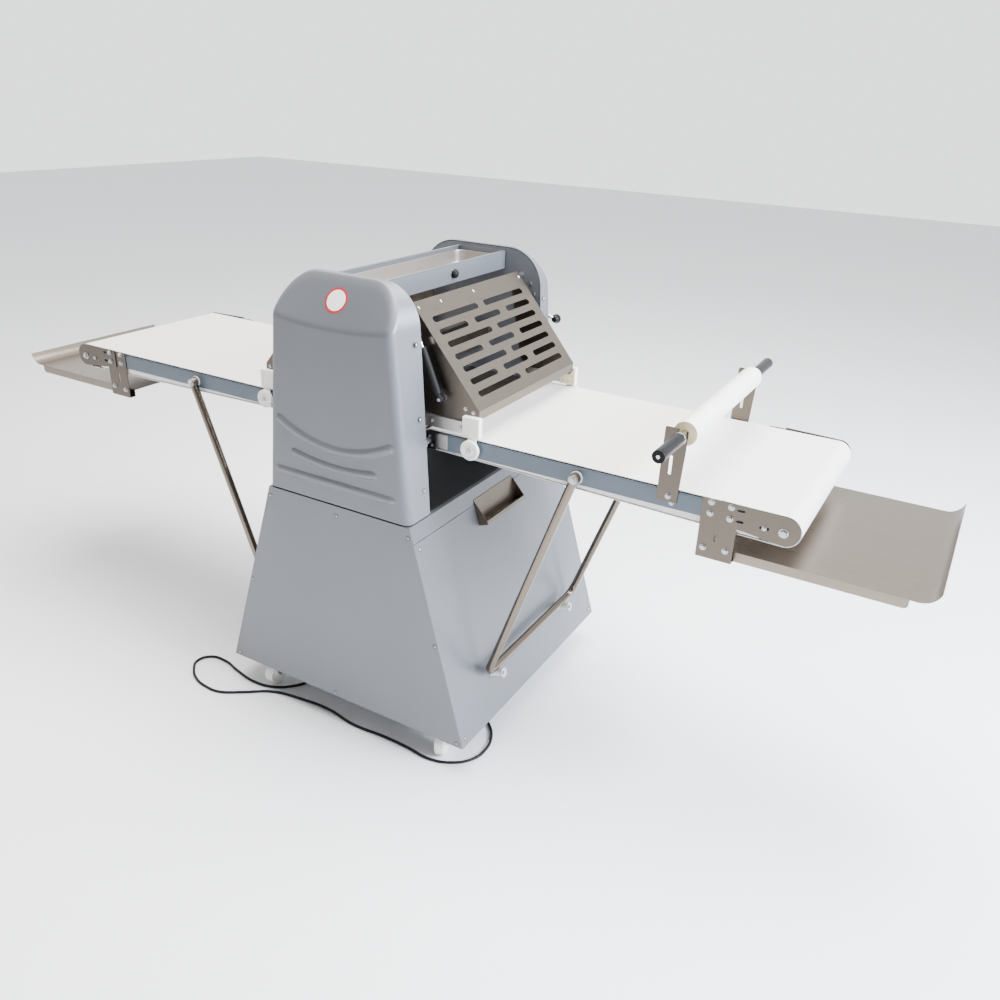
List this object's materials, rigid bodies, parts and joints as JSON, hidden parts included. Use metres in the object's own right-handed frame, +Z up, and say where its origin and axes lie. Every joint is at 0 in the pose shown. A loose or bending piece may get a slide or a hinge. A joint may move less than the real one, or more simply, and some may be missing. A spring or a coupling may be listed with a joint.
{
  "type": "dough sheeter",
  "caption": "Floor-standing dough sheeter on castors: a pair of sheeting rollers between two folding belt tables, with slotted guards and catch trays.",
  "frame": {"origin": "on the floor, below the middle of the machine", "axes": "+X along the belts towards the table with the rolling pin, -Y towards the operator's side with the plain cover, +Z up"},
  "size_m": [2.7872, 0.9318, 1.26],
  "materials": {
    "silver_paint": "satin silver-grey powder coat",
    "dark_paint": "satin blue-grey powder coat",
    "stainless": "brushed stainless sheet",
    "chrome": "hard chrome",
    "zinc": "zinc plated",
    "belt": "food-grade coated belt",
    "white_plastic": "moulded off-white plastic",
    "black_plastic": "satin black",
    "cord_rubber": "matt black sheath",
    "red_plastic": "gloss red"
  },
  "bodies": {
    "cabinet_and_head": {"base_chassis": "silver_paint", "front_panel": "silver_paint", "rear_panel": "silver_paint", "right_panel": "silver_paint", "left_panel": "silver_paint", "pull_handle": "stainless", "drive_motor": "dark_paint", "side_frame_front": "silver_paint", "side_frame_rear": "silver_paint", "side_cover_front": "silver_paint", "side_cover_rear": "silver_paint", "top_frame": "silver_paint", "flour_pan": "stainless", "infeed_bed": "stainless", "power_cord": "cord_rubber", "cord_coil": "cord_rubber", "power_plug": "cord_rubber"},
    "upper_carriage": {"upper_carriage": "stainless"},
    "upper_roller": {"upper_roller": "chrome"},
    "lower_roller": {"lower_roller": "chrome"},
    "thickness_lever": {"thickness_lever": "black_plastic"},
    "stop_button": {"stop_button": "red_plastic"},
    "right_table": {"right_table_frame": "dark_paint", "right_belt": "belt", "right_end_plate_front": "stainless", "right_end_plate_rear": "stainless", "right_catch_tray": "stainless", "pin_holder_front": "stainless", "pin_holder_rear": "stainless"},
    "right_drive_roller": {"right_drive_roller": "zinc"},
    "right_end_roller": {"right_end_roller": "zinc"},
    "right_strut": {"right_strut": "stainless"},
    "right_guard": {"right_guard": "stainless"},
    "right_guard_wheel_front": {"right_guard_wheel_front": "white_plastic"},
    "right_guard_wheel_rear": {"right_guard_wheel_rear": "white_plastic"},
    "right_gas_cylinder": {"right_gas_cylinder": "black_plastic"},
    "right_gas_rod": {"right_gas_rod": "chrome"},
    "left_table": {"left_table_frame": "dark_paint", "left_belt": "belt", "left_end_plate_front": "stainless", "left_end_plate_rear": "stainless", "left_catch_tray": "stainless"},
    "left_drive_roller": {"left_drive_roller": "zinc"},
    "left_end_roller": {"left_end_roller": "zinc"},
    "left_strut": {"left_strut": "stainless"},
    "left_guard": {"left_guard": "stainless"},
    "left_guard_wheel_front": {"left_guard_wheel_front": "white_plastic"},
    "left_guard_wheel_rear": {"left_guard_wheel_rear": "white_plastic"},
    "left_gas_cylinder": {"left_gas_cylinder": "black_plastic"},
    "left_gas_rod": {"left_gas_rod": "chrome"},
    "pin_shaft": {"pin_shaft": "black_plastic"},
    "pin_sleeve": {"pin_sleeve": "white_plastic"},
    "castor_fork_front_left": {"castor_fork_front_left": "zinc"},
    "castor_wheel_front_left": {"castor_wheel_front_left": "white_plastic"},
    "castor_fork_front_right": {"castor_fork_front_right": "zinc"},
    "castor_wheel_front_right": {"castor_wheel_front_right": "white_plastic"},
    "castor_fork_rear_left": {"castor_fork_rear_left": "zinc"},
    "castor_wheel_rear_left": {"castor_wheel_rear_left": "white_plastic"},
    "castor_fork_rear_right": {"castor_fork_rear_right": "zinc"},
    "castor_wheel_rear_right": {"castor_wheel_rear_right": "white_plastic"}
  },
  "joints": [
    {"name": "lower_roller_spin", "type": "hinge", "parent": "cabinet_and_head", "child": "lower_roller", "pos_m": [0, 0, 0.866], "axis": [0, 1, 0], "continuous": true},
    {"name": "upper_roller_spin", "type": "hinge", "parent": "upper_carriage", "child": "upper_roller", "pos_m": [0, 0, 0.95], "axis": [0, 1, 0], "continuous": true},
    {"name": "thickness_lever_turn", "type": "hinge", "parent": "cabinet_and_head", "child": "thickness_lever", "pos_m": [0.06, 0.3925, 1.1], "axis": [0, -1, 0], "range_deg": [0, 100]},
    {"name": "carriage_lift", "type": "slide", "parent": "cabinet_and_head", "child": "upper_carriage", "axis": [0, 0, 1], "range_m": [0, 0.0361]},
    {"name": "stop_button_press", "type": "slide", "parent": "cabinet_and_head", "child": "stop_button", "axis": [0, -1, 0], "range_m": [0, 0.004], "stiffness_N_per_m": 800},
    {"name": "right_table_fold", "type": "hinge", "parent": "cabinet_and_head", "child": "right_table", "pos_m": [0.205, 0, 0.8765], "axis": [0, -1, 0], "range_deg": [0, 55]},
    {"name": "right_strut_swing", "type": "hinge", "parent": "right_table", "child": "right_strut", "pos_m": [0.6067, 0, 0.8728], "axis": [0, -1, 0], "range_deg": [-41.2, 0]},
    {"name": "right_guard_lift", "type": "hinge", "parent": "cabinet_and_head", "child": "right_guard", "pos_m": [0.135, 0, 1.188], "axis": [0, -1, 0], "range_deg": [0, 104.1]},
    {"name": "right_gas_cylinder_tilt", "type": "hinge", "parent": "right_guard", "child": "right_gas_cylinder", "pos_m": [0.24, -0.279, 0.99], "axis": [0, -1, 0], "range_deg": [0, 21.05]},
    {"name": "right_gas_rod_slide", "type": "slide", "parent": "right_gas_cylinder", "child": "right_gas_rod", "axis": [-0.3939, 0, 0.9191], "range_m": [0, 0.0769]},
    {"name": "right_guard_wheel_front_spin", "type": "hinge", "parent": "right_guard", "child": "right_guard_wheel_front", "pos_m": [0.328, -0.28, 0.879], "axis": [0, 1, 0], "continuous": true},
    {"name": "right_guard_wheel_rear_spin", "type": "hinge", "parent": "right_guard", "child": "right_guard_wheel_rear", "pos_m": [0.328, 0.28, 0.879], "axis": [0, 1, 0], "continuous": true},
    {"name": "right_drive_roller_spin", "type": "hinge", "parent": "right_table", "child": "right_drive_roller", "pos_m": [0.205, 0, 0.8765], "axis": [0, 1, 0], "continuous": true},
    {"name": "right_end_roller_spin", "type": "hinge", "parent": "right_table", "child": "right_end_roller", "pos_m": [1.08, 0, 0.867], "axis": [0, 1, 0], "continuous": true},
    {"name": "left_table_fold", "type": "hinge", "parent": "cabinet_and_head", "child": "left_table", "pos_m": [-0.205, 0, 0.8765], "axis": [0, 1, 0], "range_deg": [0, 55]},
    {"name": "left_strut_swing", "type": "hinge", "parent": "left_table", "child": "left_strut", "pos_m": [-0.6067, 0, 0.8728], "axis": [0, 1, 0], "range_deg": [-41.2, 0]},
    {"name": "left_guard_lift", "type": "hinge", "parent": "cabinet_and_head", "child": "left_guard", "pos_m": [-0.135, 0, 1.188], "axis": [0, 1, 0], "range_deg": [0, 104.1]},
    {"name": "left_gas_cylinder_tilt", "type": "hinge", "parent": "left_guard", "child": "left_gas_cylinder", "pos_m": [-0.24, 0.279, 0.99], "axis": [0, 1, 0], "range_deg": [0, 21.05]},
    {"name": "left_gas_rod_slide", "type": "slide", "parent": "left_gas_cylinder", "child": "left_gas_rod", "axis": [0.3939, 0, 0.9191], "range_m": [0, 0.0769]},
    {"name": "left_guard_wheel_front_spin", "type": "hinge", "parent": "left_guard", "child": "left_guard_wheel_front", "pos_m": [-0.328, -0.28, 0.879], "axis": [0, 1, 0], "continuous": true},
    {"name": "left_guard_wheel_rear_spin", "type": "hinge", "parent": "left_guard", "child": "left_guard_wheel_rear", "pos_m": [-0.328, 0.28, 0.879], "axis": [0, 1, 0], "continuous": true},
    {"name": "left_drive_roller_spin", "type": "hinge", "parent": "left_table", "child": "left_drive_roller", "pos_m": [-0.205, 0, 0.8765], "axis": [0, 1, 0], "continuous": true},
    {"name": "left_end_roller_spin", "type": "hinge", "parent": "left_table", "child": "left_end_roller", "pos_m": [-1.08, 0, 0.867], "axis": [0, 1, 0], "continuous": true},
    {"name": "rolling_pin_lift", "type": "slide", "parent": "right_table", "child": "pin_shaft", "axis": [0, 0, 1], "range_m": [0, 0.05]},
    {"name": "pin_sleeve_spin", "type": "hinge", "parent": "pin_shaft", "child": "pin_sleeve", "pos_m": [0.841, 0, 1.026], "axis": [0, 1, 0], "continuous": true},
    {"name": "castor_swivel_front_left", "type": "hinge", "parent": "cabinet_and_head", "child": "castor_fork_front_left", "pos_m": [-0.297, -0.322, 0.0375], "axis": [0, 0, 1], "continuous": true},
    {"name": "castor_wheel_spin_front_left", "type": "hinge", "parent": "castor_fork_front_left", "child": "castor_wheel_front_left", "pos_m": [-0.297, -0.352, 0.0375], "axis": [1, 0, 0], "continuous": true},
    {"name": "castor_swivel_front_right", "type": "hinge", "parent": "cabinet_and_head", "child": "castor_fork_front_right", "pos_m": [0.297, -0.322, 0.0375], "axis": [0, 0, 1], "continuous": true},
    {"name": "castor_wheel_spin_front_right", "type": "hinge", "parent": "castor_fork_front_right", "child": "castor_wheel_front_right", "pos_m": [0.30577, -0.35069, 0.0375], "axis": [0.9563, 0.2924, 0], "continuous": true},
    {"name": "castor_swivel_rear_left", "type": "hinge", "parent": "cabinet_and_head", "child": "castor_fork_rear_left", "pos_m": [-0.297, 0.322, 0.0375], "axis": [0, 0, 1], "continuous": true},
    {"name": "castor_wheel_spin_rear_left", "type": "hinge", "parent": "castor_fork_rear_left", "child": "castor_wheel_rear_left", "pos_m": [-0.32419, 0.30932, 0.0375], "axis": [0.4226, -0.9063, 0], "continuous": true},
    {"name": "castor_swivel_rear_right", "type": "hinge", "parent": "cabinet_and_head", "child": "castor_fork_rear_right", "pos_m": [0.297, 0.322, 0.0375], "axis": [0, 0, 1], "continuous": true},
    {"name": "castor_wheel_spin_rear_right", "type": "hinge", "parent": "castor_fork_rear_right", "child": "castor_wheel_rear_right", "pos_m": [0.312, 0.34798, 0.0375], "axis": [-0.866, 0.5, 0], "continuous": true}
  ],
  "couplings": [
    {"joint": "upper_roller_spin", "follows": "lower_roller_spin", "ratio": -1},
    {"joint": "thickness_lever_turn", "follows": "carriage_lift", "rad_per_m": 48.3},
    {"joint": "right_strut_swing", "follows": "right_table_fold", "ratio": -0.746},
    {"joint": "right_guard_lift", "follows": "right_table_fold", "ratio": 1.8909},
    {"joint": "right_gas_cylinder_tilt", "follows": "right_table_fold", "ratio": 0.38099},
    {"joint": "right_gas_rod_slide", "follows": "right_table_fold", "m_per_rad": 0.079622},
    {"joint": "right_drive_roller_spin", "follows": "lower_roller_spin", "ratio": 1.5319},
    {"joint": "right_end_roller_spin", "follows": "lower_roller_spin", "ratio": 1.0909},
    {"joint": "left_strut_swing", "follows": "left_table_fold", "ratio": -0.746},
    {"joint": "left_guard_lift", "follows": "left_table_fold", "ratio": 1.8909},
    {"joint": "left_gas_cylinder_tilt", "follows": "left_table_fold", "ratio": 0.38099},
    {"joint": "left_gas_rod_slide", "follows": "left_table_fold", "m_per_rad": 0.079622},
    {"joint": "left_drive_roller_spin", "follows": "lower_roller_spin", "ratio": 1.5319},
    {"joint": "left_end_roller_spin", "follows": "lower_roller_spin", "ratio": 1.0909}
  ]
}
